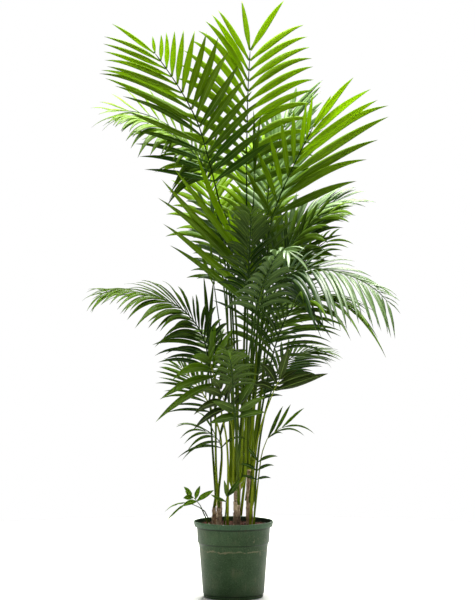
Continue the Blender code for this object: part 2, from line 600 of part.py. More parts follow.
def grow(bm, face, corners):
    """Extrudes a face and moves its new corners to the given places, which follow the face's own."""
    old = [corner.co.copy() for corner in face.verts]
    made = bmesh.ops.extrude_face_region(bm, geom=[face, *face.edges, *face.verts])["geom"]
    new_face = next(item for item in made if isinstance(item, bmesh.types.BMFace))
    places = dict(zip((tuple(co) for co in old), corners))
    for corner in new_face.verts:
        corner.co = places[tuple(corner.co)]
    return new_face


def side_face(bm, low, high):
    """The face between two pairs of corners of neighbouring rings."""
    wanted = {*low, *high}
    return next(face for face in low[0].link_faces if set(face.verts) == wanted)


def make_cane(name, foot, top, radii, collection, finish):
    """A short stem, swollen where each old leaf sheath ends."""
    bm = bmesh.new()
    foot, top = Vector(foot), Vector(top)
    rings = 7
    ring = bmesh.ops.create_circle(bm, cap_ends=True, segments=8, radius=radii[0])["verts"]
    bmesh.ops.translate(bm, verts=ring, vec=foot)
    face = ring[0].link_faces[0]
    for index in range(1, rings):
        share = index / (rings - 1)
        radius = radii[0] + (radii[1] - radii[0]) * share + 0.001 * (index % 2)
        middle = foot.lerp(top, share)
        corners = []
        for corner in face.verts:
            out = corner.co - foot.lerp(top, (index - 1) / (rings - 1))
            out.z = 0
            corners.append(middle + out.normalized() * radius)
        face = grow(bm, face, corners)
    return add_object(name, bm, collection, finish)


class Space:
    """What already stands in the plant, so that each new leaflet is laid clear of it."""

    def __init__(self):
        self.trees = []
        self.lows = []
        self.highs = []
        self.owners = []

    def fill(self, owner, points, faces):
        self.trees.append(BVHTree.FromPolygons(points, faces))
        self.lows.append(np.min(points, axis=0))
        self.highs.append(np.max(points, axis=0))
        self.owners.append(owner)

    def free(self, points, faces, skip=None, only=None):
        low, high = np.min(points, axis=0), np.max(points, axis=0)
        near = (np.array(self.lows) <= high).all(axis=1) & (np.array(self.highs) >= low).all(axis=1)
        tree = None
        for index in np.flatnonzero(near):
            owner = self.owners[index]
            if owner == skip or (only is not None and owner != only):
                continue
            tree = tree or BVHTree.FromPolygons(points, faces)
            if tree.overlap(self.trees[index]):
                return False
        return True


def ring_of(middle, side, rise, half_width, half_height):
    """Four corners round a point: front of the upper side first, then against the clock."""
    return [
        middle + side * half_width + rise * half_height,
        middle - side * half_width + rise * half_height,
        middle - side * half_width - rise * half_height,
        middle + side * half_width - rise * half_height,
    ]


def tube_faces(rings, pointed):
    """Faces of a tube of four-cornered rings, for a clearance test."""
    faces = []
    for index in range(rings - 1):
        for corner in range(4):
            a, b = 4 * index + corner, 4 * index + (corner + 1) % 4
            faces.append((a, b, b + 4, a + 4))
    if pointed:
        last = 4 * (rings - 1)
        faces += [(last + c, last + (c + 1) % 4, last + 4) for c in range(4)]
    return faces


class Frond:
    """Works out where the parts of one palm leaf lie."""

    def __init__(self, plan):
        self.plan = plan
        self.route = Route(plan["route"])

    def axes(self, share):
        """Heading, side and upper side of the midrib."""
        heading = self.route.heading(share)
        face = self.plan["face"].lerp(self.plan["tip_face"], share)
        side = heading.cross(face).normalized()
        return heading, side, side.cross(heading)

    def thickness(self, share):
        return STALK_RADIUS * self.plan["stalk"] * (1 - 0.68 * share)

    def ring(self, share, grown=0.0):
        _, side, rise = self.axes(share)
        half = self.thickness(share) + grown
        return ring_of(self.route.point(share), side, rise, half, half * 0.8)

    def pair_share(self, index):
        blade = self.plan["blade"]
        return blade + (0.985 - blade) * (index + 0.5) / self.plan["pairs"]

    def shares(self):
        """Where the midrib has its rings: along the stalk, then two for each pair of leaflets."""
        blade = self.plan["blade"]
        foot = LEAF_FOOT / 2 / self.route.length
        found = [blade * step / STALK_SECTIONS for step in range(STALK_SECTIONS)]
        for index in range(self.plan["pairs"]):
            middle = self.pair_share(index)
            found += [middle - foot, middle + foot]
        return found

    def side_plan(self, side_sign):
        return {**self.plan, **self.plan["right"]} if side_sign > 0 else self.plan

    def leaflet(self, index, side_sign, lift=0.0, swing=0.0, trim=1.0):
        """Foot, direction, upper side, length and sag of a leaflet, turned and trimmed a little."""
        plan = self.side_plan(side_sign)
        last = plan["pairs"] - 1
        along = index / max(last, 1)
        low, mid, high = plan["reach"]
        length = low + (mid - low) * 2 * along if along < 0.5 else mid + (high - mid) * (2 * along - 1)
        heading, side, rise = self.axes(self.pair_share(index))
        wave = math.sin(12.9 * (index + 1) + 3.7 * side_sign)
        spread = plan["spread"]
        angle = spread[-1] if index == last else spread[0] + (spread[1] - spread[0]) * along
        angle = math.radians(angle + 4.5 * wave + swing)
        out = heading * math.cos(angle) + side * (side_sign * math.sin(angle))
        roll = math.sin(7.1 * (index + 1) + 1.7 * side_sign)
        tilt = math.radians(6 + 7 * roll + lift)
        aim = out * math.cos(tilt) + rise * math.sin(tilt)
        top = rise * math.cos(tilt) - out * math.sin(tilt)
        foot = self.route.point(self.pair_share(index)) + side * (side_sign * self.thickness(0.8))
        length *= trim * (1 + 0.06 * wave)
        droop = plan["droop"][0] + (plan["droop"][1] - plan["droop"][0]) * along
        return foot, aim, top, length, droop * length

    def section(self, leaflet, side_sign, share, width_share, grown=0.0):
        """The four corners round a leaflet at a share of its length."""
        foot, aim, top, length, sag = leaflet
        middle = foot + aim * (length * share) - UP * (sag * share**2)
        heading = (aim * length - UP * (2 * sag * share)).normalized()
        rise = (top - heading * top.dot(heading)).normalized()
        forward = rise.cross(heading) * side_sign
        plan = self.side_plan(side_sign)
        slimming = math.sqrt(length / max(plan["reach"]))
        half_width = plan["width"] / 2 * width_share * slimming + grown
        return ring_of(middle, forward, rise, half_width, LEAF_THICKNESS / 2 + grown)

    def tip(self, leaflet, grown=0.0):
        foot, aim, _, length, sag = leaflet
        return foot + aim * (length + grown) - UP * sag

    def leaflet_shell(self, leaflet, side_sign, from_foot):
        """A slightly swollen copy of a leaflet, for a clearance test."""
        first = 0.02 if from_foot else 0.10
        sections = ((first, 0.5), *LEAF_SECTIONS)
        points = []
        for share, width_share in sections:
            points += self.section(leaflet, side_sign, share, width_share, LEAF_CLEARANCE)
        points.append(self.tip(leaflet, 3 * LEAF_CLEARANCE))
        return points, tube_faces(len(sections), True)


def tries():
    """Small turns and trims for a leaflet, the least change first."""
    found = []
    for lift in (0, 6, -6, 12, -12, 18, -18, 26, -26):
        for swing in (0, 5, -5):
            for trim in (1.0, 0.88, 0.74, 0.6, 0.45):
                cost = abs(lift) / 6 + abs(swing) / 5 * 1.1 + (1 - trim) * 14
                found.append((cost, lift, swing, trim))
    return [entry[1:] for entry in sorted(found)]


def make_frond(frond_shape, space, collection, finish):
    """The midrib is extruded ring by ring, and the leaflets are extruded from its sides."""
    plan = frond_shape.plan
    bm = bmesh.new()
    shares = frond_shape.shares()
    rings = []
    first = [bm.verts.new(place) for place in frond_shape.ring(shares[0])]
    face = bm.faces.new(first)
    rings.append(first)
    for share in shares[1:]:
        places = frond_shape.ring(share)
        order = [rings[-1].index(corner) for corner in face.verts]
        face = grow(bm, face, [places[index] for index in order])
        ring = [None] * 4
        for corner, index in zip(face.verts, order):
            ring[index] = corner
        rings.append(ring)
    for index in range(plan["pairs"]):
        low = rings[STALK_SECTIONS + 2 * index]
        high = rings[STALK_SECTIONS + 2 * index + 1]
        for side_sign, upper, lower in ((1, 0, 3), (-1, 1, 2)):
            leaflet = clear_leaflet(frond_shape, index, side_sign, space)
            if leaflet is None:
                continue
            corners = [high[upper], low[upper], low[lower], high[lower]]
            grow_leaflet(bm, frond_shape, leaflet, side_sign, corners)
    return add_object(plan["name"], bm, collection, finish)


def clear_leaflet(frond_shape, index, side_sign, space):
    name = frond_shape.plan["name"]
    for lift, swing, trim in tries():
        leaflet = frond_shape.leaflet(index, side_sign, lift, swing, trim)
        whole = frond_shape.leaflet_shell(leaflet, side_sign, True)
        outer = frond_shape.leaflet_shell(leaflet, side_sign, False)
        if space.free(*whole, skip=name) and space.free(*outer, only=name):
            space.fill(name, *whole)
            return leaflet
    return None


def grow_leaflet(bm, frond_shape, leaflet, side_sign, corners):
    face = side_face(bm, corners[:2], corners[2:])
    for share, width_share in LEAF_SECTIONS:
        places = frond_shape.section(leaflet, side_sign, share, width_share)
        order = [corners.index(corner) for corner in face.verts]
        face = grow(bm, face, [places[index] for index in order])
        grown = [None] * 4
        for corner, index in zip(face.verts, order):
            grown[index] = corner
        corners = grown
    tip = frond_shape.tip(leaflet)
    face = grow(bm, face, [tip.lerp(corner.co, 0.01) for corner in face.verts])
    bmesh.ops.pointmerge(bm, verts=list(face.verts), merge_co=tip)


def shell_of(obj):
    """World-space points and faces of an object as it is evaluated."""
    graph = bpy.context.evaluated_depsgraph_get()
    evaluated = obj.evaluated_get(graph)
    mesh = evaluated.to_mesh()
    points = [obj.matrix_world @ vertex.co for vertex in mesh.vertices]
    faces = [tuple(polygon.vertices) for polygon in mesh.polygons]
    evaluated.to_mesh_clear()
    return points, faces


def main():
    for obj in list(bpy.data.objects):
        bpy.data.objects.remove(obj, do_unlink=True)
    palm = new_collection("potted_palm")
    cutters = new_collection("cutters")
    space = Space()
    solids = [make_pot(palm, cutters), make_soil(palm)]
    bark = material("cane_fibre", (0.20, 0.12, 0.07), 0.9)
    for name, foot, top, radii in CANES:
        base = (*foot, soil_height(*foot))
        solids.append(make_cane(name, base, top, radii, palm, bark))
    bpy.context.view_layer.update()
    for solid in solids:
        space.fill(solid.name, *shell_of(solid))
    finishes = {tone: material(f"leaf_{tone}", colour, 0.45) for tone, colour in TONES.items()}
    shapes = [Frond(plan) for plan in FRONDS]
    for shape in shapes:
        points = []
        shares = shape.shares()
        for share in shares:
            points += shape.ring(share, 0.001)
        space.fill(shape.plan["name"], points, tube_faces(len(shares), False))
    for shape in shapes:
        make_frond(shape, space, palm, finishes[shape.plan["tone"]])


main()
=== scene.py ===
import json
import math
import random

import bmesh
import bpy
from mathutils import Matrix, Vector, noise


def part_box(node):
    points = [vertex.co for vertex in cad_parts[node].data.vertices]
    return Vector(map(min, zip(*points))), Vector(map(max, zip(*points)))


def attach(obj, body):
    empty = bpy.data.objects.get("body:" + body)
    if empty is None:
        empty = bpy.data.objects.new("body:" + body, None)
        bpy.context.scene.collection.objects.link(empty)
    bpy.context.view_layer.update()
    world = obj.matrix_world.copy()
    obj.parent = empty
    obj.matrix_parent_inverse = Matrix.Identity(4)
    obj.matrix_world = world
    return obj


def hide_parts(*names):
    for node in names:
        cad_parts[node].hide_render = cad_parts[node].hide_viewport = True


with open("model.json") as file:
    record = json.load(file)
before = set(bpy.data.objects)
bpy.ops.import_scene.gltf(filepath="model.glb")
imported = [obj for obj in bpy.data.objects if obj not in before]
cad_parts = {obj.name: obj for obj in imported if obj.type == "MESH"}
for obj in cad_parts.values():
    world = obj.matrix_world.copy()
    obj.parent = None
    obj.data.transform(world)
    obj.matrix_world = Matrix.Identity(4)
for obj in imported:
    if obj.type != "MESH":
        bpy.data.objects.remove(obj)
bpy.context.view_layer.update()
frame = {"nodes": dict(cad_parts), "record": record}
cadNodes = frame["nodes"]
print("frame:", len(cadNodes), "nodes")

up = Vector((0, 0, 1))


class Wire:
    # a socket that adds Math nodes when it is used in an expression

    def __init__(self, finish, socket):
        self.finish = finish
        self.socket = socket

    def sum(self, operation, first, second=None):
        values = {0: first} if second is None else {0: first, 1: second}
        return self.finish.add("ShaderNodeMath", {"operation": operation}, values)

    def __add__(self, other):
        return self.sum("ADD", self, other)

    __radd__ = __add__

    def __mul__(self, other):
        return self.sum("MULTIPLY", self, other)

    def __sub__(self, other):
        return self.sum("SUBTRACT", self, other)

    def __rsub__(self, other):
        return self.sum("SUBTRACT", other, self)

    def __pow__(self, other):
        return self.sum("POWER", self, other)

    def __abs__(self):
        return self.sum("ABSOLUTE", self)

    def sine(self):
        return self.sum("SINE", self)

    def part(self):
        return self.sum("FRACT", self)


class Finish:
    # one material, built node by node

    def __init__(self, name):
        self.material = bpy.data.materials.new(name)
        self.material.use_nodes = True
        self.tree = self.material.node_tree
        self.tree.nodes.clear()

    def add(self, kind, settings=None, values=None, out=0):
        node = self.tree.nodes.new(kind)
        for key, value in (settings or {}).items():
            setattr(node, key, value)
        for key, value in (values or {}).items():
            if isinstance(value, Wire):
                self.tree.links.new(value.socket, node.inputs[key])
            elif isinstance(value, tuple) and len(value) == 3 and node.inputs[key].type == "RGBA":
                node.inputs[key].default_value = (*value, 1)
            else:
                node.inputs[key].default_value = value
        return Wire(self, node.outputs[out])

    def place(self):
        return self.add("ShaderNodeTexCoord", out=3)  # object coordinates

    def stretched(self, vector, scale):
        return self.add("ShaderNodeVectorMath", {"operation": "MULTIPLY"}, {0: vector, 1: scale})

    def axes(self, vector):
        parts = self.add("ShaderNodeSeparateXYZ", values={0: vector}).socket.node
        return [Wire(self, socket) for socket in parts.outputs]

    def speckle(self, vector, scale, detail=3, roughness=0.55):
        values = {"Vector": vector, "Scale": scale, "Detail": detail, "Roughness": roughness}
        return self.add("ShaderNodeTexNoise", values=values)

    def mask(self, value, low, high):
        values = {"Value": value, "From Min": low, "From Max": high}
        return self.add("ShaderNodeMapRange", {"interpolation_type": "SMOOTHSTEP"}, values)

    def blend(self, share, first, second):
        settings = {"data_type": "RGBA", "clamp_factor": True}
        return self.add("ShaderNodeMix", settings, {0: share, 6: first, 7: second}, out=2)

    def bump(self, height, strength, distance):
        values = {"Height": height, "Strength": strength, "Distance": distance}
        return self.add("ShaderNodeBump", values=values)

    def painted(self):
        # the three numbers that each corner of a stalk or leaflet carries: across or around, along, shade
        return self.axes(self.add("ShaderNodeAttribute", {"attribute_name": "leafPlace"}, out=1))

    def surface(self, values):
        return self.add("ShaderNodeBsdfPrincipled", values=values)

    def done(self, shader):
        end = self.tree.nodes.new("ShaderNodeOutputMaterial")
        self.tree.links.new(shader.socket, end.inputs["Surface"])
        return self.material


def finishPiece(bm, name, finishes, slotName, replaced=(), smooth=True):
    mesh = bpy.data.meshes.new(name)
    bm.to_mesh(mesh)
    bm.free()
    for finish in finishes:
        mesh.materials.append(finish)
    if smooth:
        mesh.shade_smooth()
    piece = bpy.data.objects.new(name, mesh)
    bpy.context.scene.collection.objects.link(piece)
    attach(piece, "root")
    if replaced:
        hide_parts(*replaced)
    return piece


def addWall(piece, thickness, underside=0):
    wall = piece.modifiers.new("wall", "SOLIDIFY")
    wall.thickness = thickness
    wall.offset = -1
    wall.material_offset = underside
    wall.material_offset_rim = underside


def eased(share):
    share = min(max(share, 0), 1)
    return share * share * (3 - 2 * share)


def mix(first, second, share):
    return first + (second - first) * share


def roundedOutline(points, radius, steps=3):
    # the outline with each corner turned into a short curve
    made = [points[0]]
    for before, corner, after in zip(points, points[1:], points[2:]):
        corner, before, after = Vector(corner), Vector(before), Vector(after)
        reach = min(radius, (before - corner).length * 0.45, (after - corner).length * 0.45)
        start = corner + (before - corner).normalized() * reach
        end = corner + (after - corner).normalized() * reach
        for step in range(steps + 1):
            share = step / steps
            made.append(start.lerp(corner, share).lerp(corner.lerp(end, share), share)[:])
    made.append(points[-1])
    return made


def spun(bm, outline, sides):
    # an outline in the XZ plane turned once about Z
    verts = [bm.verts.new((radius, 0, height)) for radius, height in outline]
    edges = [bm.edges.new(pair) for pair in zip(verts, verts[1:])]
    bmesh.ops.spin(
        bm,
        geom=verts + edges,
        cent=(0, 0, 0),
        axis=(0, 0, 1),
        angle=math.tau,
        steps=sides,
        use_merge=True,
        use_duplicate=False,
    )
    bmesh.ops.remove_doubles(bm, verts=bm.verts, dist=0.000005)
    bmesh.ops.recalc_face_normals(bm, faces=bm.faces)


def addTube(bm, around, along, place, shade=0.5):
    # a grid rolled up by place(turn, share), with its seam closed
    grid = bmesh.ops.create_grid(bm, x_segments=around, y_segments=along, size=0.5)["verts"]
    for vert in grid:
        turn, share = vert.co.x + 0.5, vert.co.y + 0.5
        vert.co = place(turn, share)
    layer = bm.verts.layers.float_vector.active
    if layer:
        for index, vert in enumerate(grid):
            vert[layer] = ((index % (around + 1)) / around, index // (around + 1) / along, shade)
    faces = list({face for vert in grid for face in vert.link_faces})
    bmesh.ops.remove_doubles(bm, verts=grid, dist=0.00001)
    edges = {edge for face in faces if face.is_valid for edge in face.edges}
    bmesh.ops.holes_fill(bm, edges=[edge for edge in edges if edge.is_boundary], sides=around)


potShape = {
    "sides": 128,
    "rim": 0.135,
    "height": 0.258,
    "bandHeight": 0.020,
    "bandWall": 0.0045,
    "wall": 0.002,
    "shoulder": 0.125,
    "stepHeight": 0.185,
    "stepDepth": 0.0035,
    "heel": 0.104,
    "heelHeight": 0.015,
    "foot": 0.101,
    "groove": (0.078, 0.092),
    "grooveDepth": 0.006,
    "floor": 0.003,
    "holes": 8,
    "holeRadius": 0.005,
    "holeSides": 24,
    "rounding": 0.0016,
    "sharpFrom": 50,  # degrees
}


def plasticFinish():
    paint = {
        "base": (0.025, 0.055, 0.019),
        "pale": (0.041, 0.080, 0.033),
        "band": (0.042, 0.098, 0.048),
        # painted highlight along the top edge of the rim
        "lipHighlight": (0.150, 0.230, 0.150),
        "olive": (0.080, 0.078, 0.040),
        # dark grain specks, and painted shade in the recesses and on the inner face of the rim band
        "speckAndCreviceShade": (0.006, 0.010, 0.005),
        "speck": (0.085, 0.125, 0.070),
        "soilMark": (0.210, 0.185, 0.105),
        "tideHeight": 0.1455,  # a dried line of soil round the wall, before it wanders upwards
        "tideWander": 0.034,
        "splashHeight": 0.182,
        "roughness": 0.38,
    }
    pot = potShape
    finish = Finish("pot_plastic")
    place = finish.place()
    x, y, z = finish.axes(place)
    radius = (x * x + y * y) ** 0.5
    foot = pot["height"] - pot["bandHeight"]
    cloud = finish.speckle(place, 9, 4)
    grain = finish.speckle(place, 330, 2)
    fine = finish.speckle(place, 1100, 2)
    band = finish.mask(z, foot - 0.001, foot + 0.001)
    colour = finish.blend(finish.mask(cloud, 0.35, 0.68), paint["base"], paint["pale"])
    stain = finish.mask(finish.speckle(place, 17, 3), 0.50, 0.68)
    colour = finish.blend(stain * 0.22, colour, paint["olive"])
    colour = finish.blend(band * 0.8, colour, paint["band"])
    colour = finish.blend(finish.mask(grain, 0.56, 0.70) * 0.55, colour, paint["speck"])
    colour = finish.blend(finish.mask(grain, 0.44, 0.30) * 0.6, colour, paint["speckAndCreviceShade"])
    wander = finish.speckle(place, 19, 4) * paint["tideWander"]
    tide = 1 - finish.mask(abs(z - paint["tideHeight"] - wander), 0.0006, 0.0036)
    broken = finish.mask(finish.speckle(place, 30, 4), 0.42, 0.54)
    streak = finish.speckle(finish.stretched(place, (1, 1, 0.16)), 60, 3)
    dust = finish.mask(streak, 0.54, 0.72) * finish.mask(cloud, 0.42, 0.62)
    splash = 1 - finish.mask(abs(z - paint["splashHeight"]), 0.012, 0.045)
    spatter = finish.mask(finish.speckle(place, 75, 4), 0.57, 0.66) * splash
    marks = tide * broken * 0.55 + dust * 0.20 + spatter * finish.mask(x, -0.02, 0.10) * 0.45
    colour = finish.blend(marks, colour, paint["soilMark"])
    # painted shade: the inner face of the rim band, and thin lines under the step, under the band and at the
    # heel, are darkened
    insideShade = (1 - finish.mask(radius, pot["rim"] - 0.0042, pot["rim"] - 0.0034)) * band
    speckAndCreviceShade = 1 - finish.mask(abs(z - pot["stepHeight"] + 0.0018), 0.0006, 0.0026)
    speckAndCreviceShade = speckAndCreviceShade + (1 - finish.mask(abs(z - foot + 0.0010), 0.0008, 0.0050)) * 0.9
    speckAndCreviceShade = speckAndCreviceShade + (1 - finish.mask(abs(z - pot["heelHeight"] + 0.0038), 0.0006, 0.0020)) * 0.9
    colour = finish.blend(speckAndCreviceShade * 0.9 + insideShade * 0.8, colour, paint["speckAndCreviceShade"])
    # painted highlight: a light line along the top edge of the rim
    lipHighlight = finish.mask(z, pot["height"] - 0.0022, pot["height"] - 0.0004)
    colour = finish.blend(lipHighlight * 0.75, colour, paint["lipHighlight"])
    values = {
        "Base Color": colour,
        "Roughness": marks * 0.4 + fine * 0.16 + paint["roughness"],
        "Specular IOR Level": 0.14,
        "Normal": finish.bump(grain * 0.5 + fine * 0.5, 0.35, 0.0006),
    }
    return finish.done(finish.surface(values))


def soilFinish():
    paint = {"dark": (0.018, 0.007, 0.004), "light": (0.115, 0.044, 0.026), "fleck": (0.26, 0.15, 0.08)}
    finish = Finish("soil_peat")
    place = finish.place()
    clod = finish.speckle(place, 120, 5, 0.7)
    fleck = finish.mask(finish.speckle(place, 420, 2), 0.66, 0.74)
    colour = finish.blend(finish.mask(clod, 0.36, 0.66), paint["dark"], paint["light"])
    colour = finish.blend(fleck * 0.7, colour, paint["fleck"])
    values = {
        "Base Color": colour,
        "Roughness": 0.95 - fleck * 0.1,
        "Specular IOR Level": 0.2,
        "Normal": finish.bump(clod, 0.8, 0.003),
    }
    return finish.done(finish.surface(values))


def fibreFinish(name, dark, light, ringed):
    paint = {"patch": (0.052, 0.028, 0.018), "scar": (0.045, 0.025, 0.016)}
    finish = Finish(name)
    place = finish.place()
    fibre = finish.speckle(finish.stretched(place, (1, 1, 0.09)), 430, 4, 0.65)
    patch = finish.speckle(place, 60, 4, 0.6)
    colour = finish.blend(finish.mask(fibre, 0.34, 0.66), dark, light)
    colour = finish.blend(finish.mask(patch, 0.52, 0.70) * 0.65, colour, paint["patch"])
    height = fibre * 0.7 + patch * 0.3
    if ringed:
        step = (finish.axes(place)[2] * 31).part()  # leaf scars, 31 to the metre
        scar = 1 - finish.mask(abs(step - 0.5), 0.02, 0.09)
        colour = finish.blend(scar * 0.5, colour, paint["scar"])
        height = height - scar * 0.5
    values = {
        "Base Color": colour,
        "Roughness": 0.85 - fibre * 0.15,
        "Specular IOR Level": 0.25,
        "Normal": finish.bump(height, 0.7, 0.0015),
    }
    return finish.done(finish.surface(values))


# colours of a leaf from its youngest and most lit to its oldest and most shaded, between which its painted
# light and shade runs, the colour and the share of light that comes through it, and its shine
leafTones = {
    "leaf_bright": {
        "young": (0.225, 0.370, 0.003),
        "old": (0.012, 0.048, 0.001),
        "through": (0.56, 0.80, 0.004),
        "share": 0.43,
        "sheen": 0.08,
    },
    "leaf_deep": {
        "young": (0.130, 0.240, 0.005),
        "old": (0.007, 0.025, 0.001),
        "through": (0.32, 0.54, 0.003),
        "share": 0.27,
        "sheen": 0.10,
    },
    "leaf_olive": {
        "young": (0.046, 0.066, 0.006),
        "old": (0.010, 0.018, 0.002),
        "through": (0.16, 0.24, 0.006),
        "share": 0.14,
        "sheen": 0.08,
    },
    # painted reflection: the young colour is greyed for the white studio shining off glossy leaflets
    "leaf_silver": {
        "young": (0.230, 0.370, 0.130),
        "old": (0.012, 0.044, 0.005),
        "through": (0.30, 0.52, 0.01),
        "share": 0.26,
        "sheen": 0.45,
    },
}


def leafFinish(name, tone, upper):
    paint = {
        "vein": (0.30, 0.46, 0.08),
        "dry": (0.30, 0.20, 0.07),
        "under": (0.10, 0.15, 0.03),
        "pleatShade": (0.014, 0.042, 0.002),
    }
    finish = Finish(name + ("_upper" if upper else "_under"))
    across, along, shade = finish.painted()
    place = finish.place()
    patch = finish.speckle(place, 14, 3)
    # painted light and shade: leaflets deep within the plant and low in it are darker, those at its top and
    # edges lighter, and each leaflet lighter towards its tip; partly also the darker green of older leaves
    colour = finish.blend(shade + along * 0.30 + patch * 0.4 - 0.32, tone["old"], tone["young"])
    if not upper:
        colour = finish.blend(0.30, colour, paint["under"])
    side = abs(across - 0.5)
    # painted shade: dark stripes along each leaflet for the shadows in the folds of its pleats
    pleatShading = (side * 21 + patch * 2).sine() * 0.5 + 0.5
    colour = finish.blend(pleatShading * 0.30, colour, paint["pleatShade"])
    middle = 1 - finish.mask(side, 0.012, 0.045)
    colour = finish.blend(middle * (1 - along * 0.6) * 0.55, colour, paint["vein"])
    worn = finish.mask(along + finish.speckle(place, 38, 3) * 0.20, 1.06, 1.15)
    colour = finish.blend(worn * 0.85, colour, paint["dry"])
    values = {
        "Base Color": colour,
        "Roughness": (0.36 if upper else 0.52) + patch * 0.14 + worn * 0.3,
        "Specular IOR Level": tone["sheen"] if upper else 0.1,
        "Normal": finish.bump(patch, 0.3, 0.004),
    }
    shader = finish.surface(values)
    glow = finish.add("ShaderNodeBsdfTranslucent", values={"Color": tone["through"]})
    share = (finish.mask(shade, 0.10, 0.75) * 0.78 + 0.22) * tone["share"]
    return finish.done(finish.add("ShaderNodeMixShader", values={0: share, 1: shader, 2: glow}))


def stalkFinish(name, low, high):
    paint = {"paintedShade": (0.016, 0.036, 0.002), "streak": (0.030, 0.065, 0.006), "scurf": (0.14, 0.085, 0.045)}
    finish = Finish(name)
    along, shade = finish.painted()[1:]
    place = finish.place()
    streak = finish.speckle(finish.stretched(place, (1, 1, 0.05)), 420, 3)
    colour = finish.blend(finish.mask(along, 0.02, 0.5), low, high)
    # painted shade: some stalks are darkened, at random, for the shade they stand in
    colour = finish.blend(finish.mask(shade, 0.2, 0.95) * 0.72, colour, paint["paintedShade"])
    colour = finish.blend(finish.mask(streak, 0.42, 0.72) * 0.35, colour, paint["streak"])
    base = 1 - finish.mask(along, 0.02, 0.20)
    scurf = finish.mask(finish.speckle(place, 120, 3), 0.58, 0.72) * base
    colour = finish.blend(scurf * 0.7, colour, paint["scurf"])
    values = {
        "Base Color": colour,
        "Roughness": 0.42 + scurf * 0.4,
        "Specular IOR Level": 0.07,
        "Normal": finish.bump(streak, 0.25, 0.0008),
    }
    return finish.done(finish.surface(values))


def wallRadius(height):
    pot = potShape
    if height >= pot["stepHeight"]:
        share = (height - pot["stepHeight"]) / (pot["height"] - pot["bandHeight"] - pot["stepHeight"])
        return pot["shoulder"] - pot["stepDepth"] * (1 - share)
    share = (height - pot["heelHeight"]) / (pot["stepHeight"] - pot["heelHeight"])
    return mix(pot["heel"], pot["shoulder"] - 2 * pot["stepDepth"], share)


def makePot(plastic):
    pot = potShape
    top, rim = pot["height"], pot["rim"]
    band = top - pot["bandHeight"]
    inner, outer = pot["groove"]
    step = pot["stepHeight"]
    outline = [
        (0, 0),
        (inner, 0),
        (inner + 0.002, pot["grooveDepth"]),
        (outer - 0.002, pot["grooveDepth"]),
        (outer, 0),
        (pot["foot"] - 0.0004, 0),
        (pot["foot"] + 0.0006, pot["heelHeight"] - 0.0065),
        (pot["foot"] - 0.0008, pot["heelHeight"] - 0.0045),
        (pot["heel"] - 0.0002, pot["heelHeight"] - 0.001),
        (wallRadius(0.06), 0.06),
        (wallRadius(0.12), 0.12),
        (wallRadius(step - 0.004), step - 0.004),
        (wallRadius(step + 0.001), step),
        (wallRadius(band - 0.003), band - 0.003),
        (pot["shoulder"] + 0.0004, band + 0.0012),
        (rim - 0.0022, band + 0.0006),
        (rim - 0.0002, band + 0.0125),
        (rim + 0.0002, top - 0.0010),
        (rim - 0.0022, top),
        (rim - pot["bandWall"], top - 0.0022),
        (rim - pot["bandWall"] - 0.0012, band + 0.004),
        (pot["shoulder"] - pot["wall"], band - 0.001),
        (wallRadius(step) - pot["wall"], step - 0.002),
        (wallRadius(step - 0.004) - pot["wall"], step - 0.006),
        (pot["heel"] - pot["wall"], pot["heelHeight"]),
        (pot["foot"] - pot["wall"], pot["grooveDepth"] + pot["floor"]),
        (inner, pot["grooveDepth"] + pot["floor"]),
        (inner - pot["wall"], pot["floor"]),
        (0, pot["floor"]),
    ]
    bm = bmesh.new()
    spun(bm, roundedOutline(outline, pot["rounding"]), pot["sides"])
    piece = finishPiece(bm, "pot", [plastic], "pot_plastic", ["nursery_pot"])
    cutter = bmesh.new()
    middle = (inner + outer) / 2
    for index in range(pot["holes"]):
        turn = Matrix.Rotation((index + 0.5) * math.tau / pot["holes"], 4, "Z")
        lift = Matrix.Translation((middle, 0, pot["grooveDepth"]))
        radius = pot["holeRadius"]
        bmesh.ops.create_cone(
            cutter,
            cap_ends=True,
            segments=pot["holeSides"],
            radius1=radius,
            radius2=radius,
            depth=0.02,
            matrix=turn @ lift,
        )
    mesh = bpy.data.meshes.new("drainCutter")
    cutter.to_mesh(mesh)
    cutter.free()
    tool = bpy.data.objects.new("drainCutter", mesh)
    bpy.context.scene.collection.objects.link(tool)
    drain = piece.modifiers.new("drain", "BOOLEAN")
    drain.operation = "DIFFERENCE"
    drain.solver = "EXACT"
    drain.object = tool
    bpy.context.view_layer.update()
    cut = bpy.data.meshes.new_from_object(piece.evaluated_get(bpy.context.evaluated_depsgraph_get()))
    piece.modifiers.remove(drain)
    piece.data = cut
    bpy.data.objects.remove(tool, do_unlink=True)
    cut.name = "pot"
    cut.shade_smooth()
    cut.set_sharp_from_angle(angle=math.radians(pot["sharpFrom"]))


soilShape = {
    "rings": 30,
    "sides": 90,
    "edge": 0.1278,
    "shoulder": (0.1222, 0.011),  # radius, and depth under the top
    "waist": (0.1165, 0.17),  # radius and height
    "foot": (0.100, 0.02),
    "under": 0.012,
    "crown": 0.004,  # how much higher the middle is than the edge
    "bump": 0.0032,
    "chips": 680,
    "chipSize": (0.0012, 0.0036),
    "seed": 4,
}


def soilTop(x, y):
    radius = math.hypot(x, y)
    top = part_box("soil")[1].z
    crown = mix(top, top - soilShape["crown"], min(radius / 0.10, 1))
    return crown + noise.fractal(Vector((x, y, 0)) * 60, 1.0, 2.0, 4) * soilShape["bump"] - 0.001


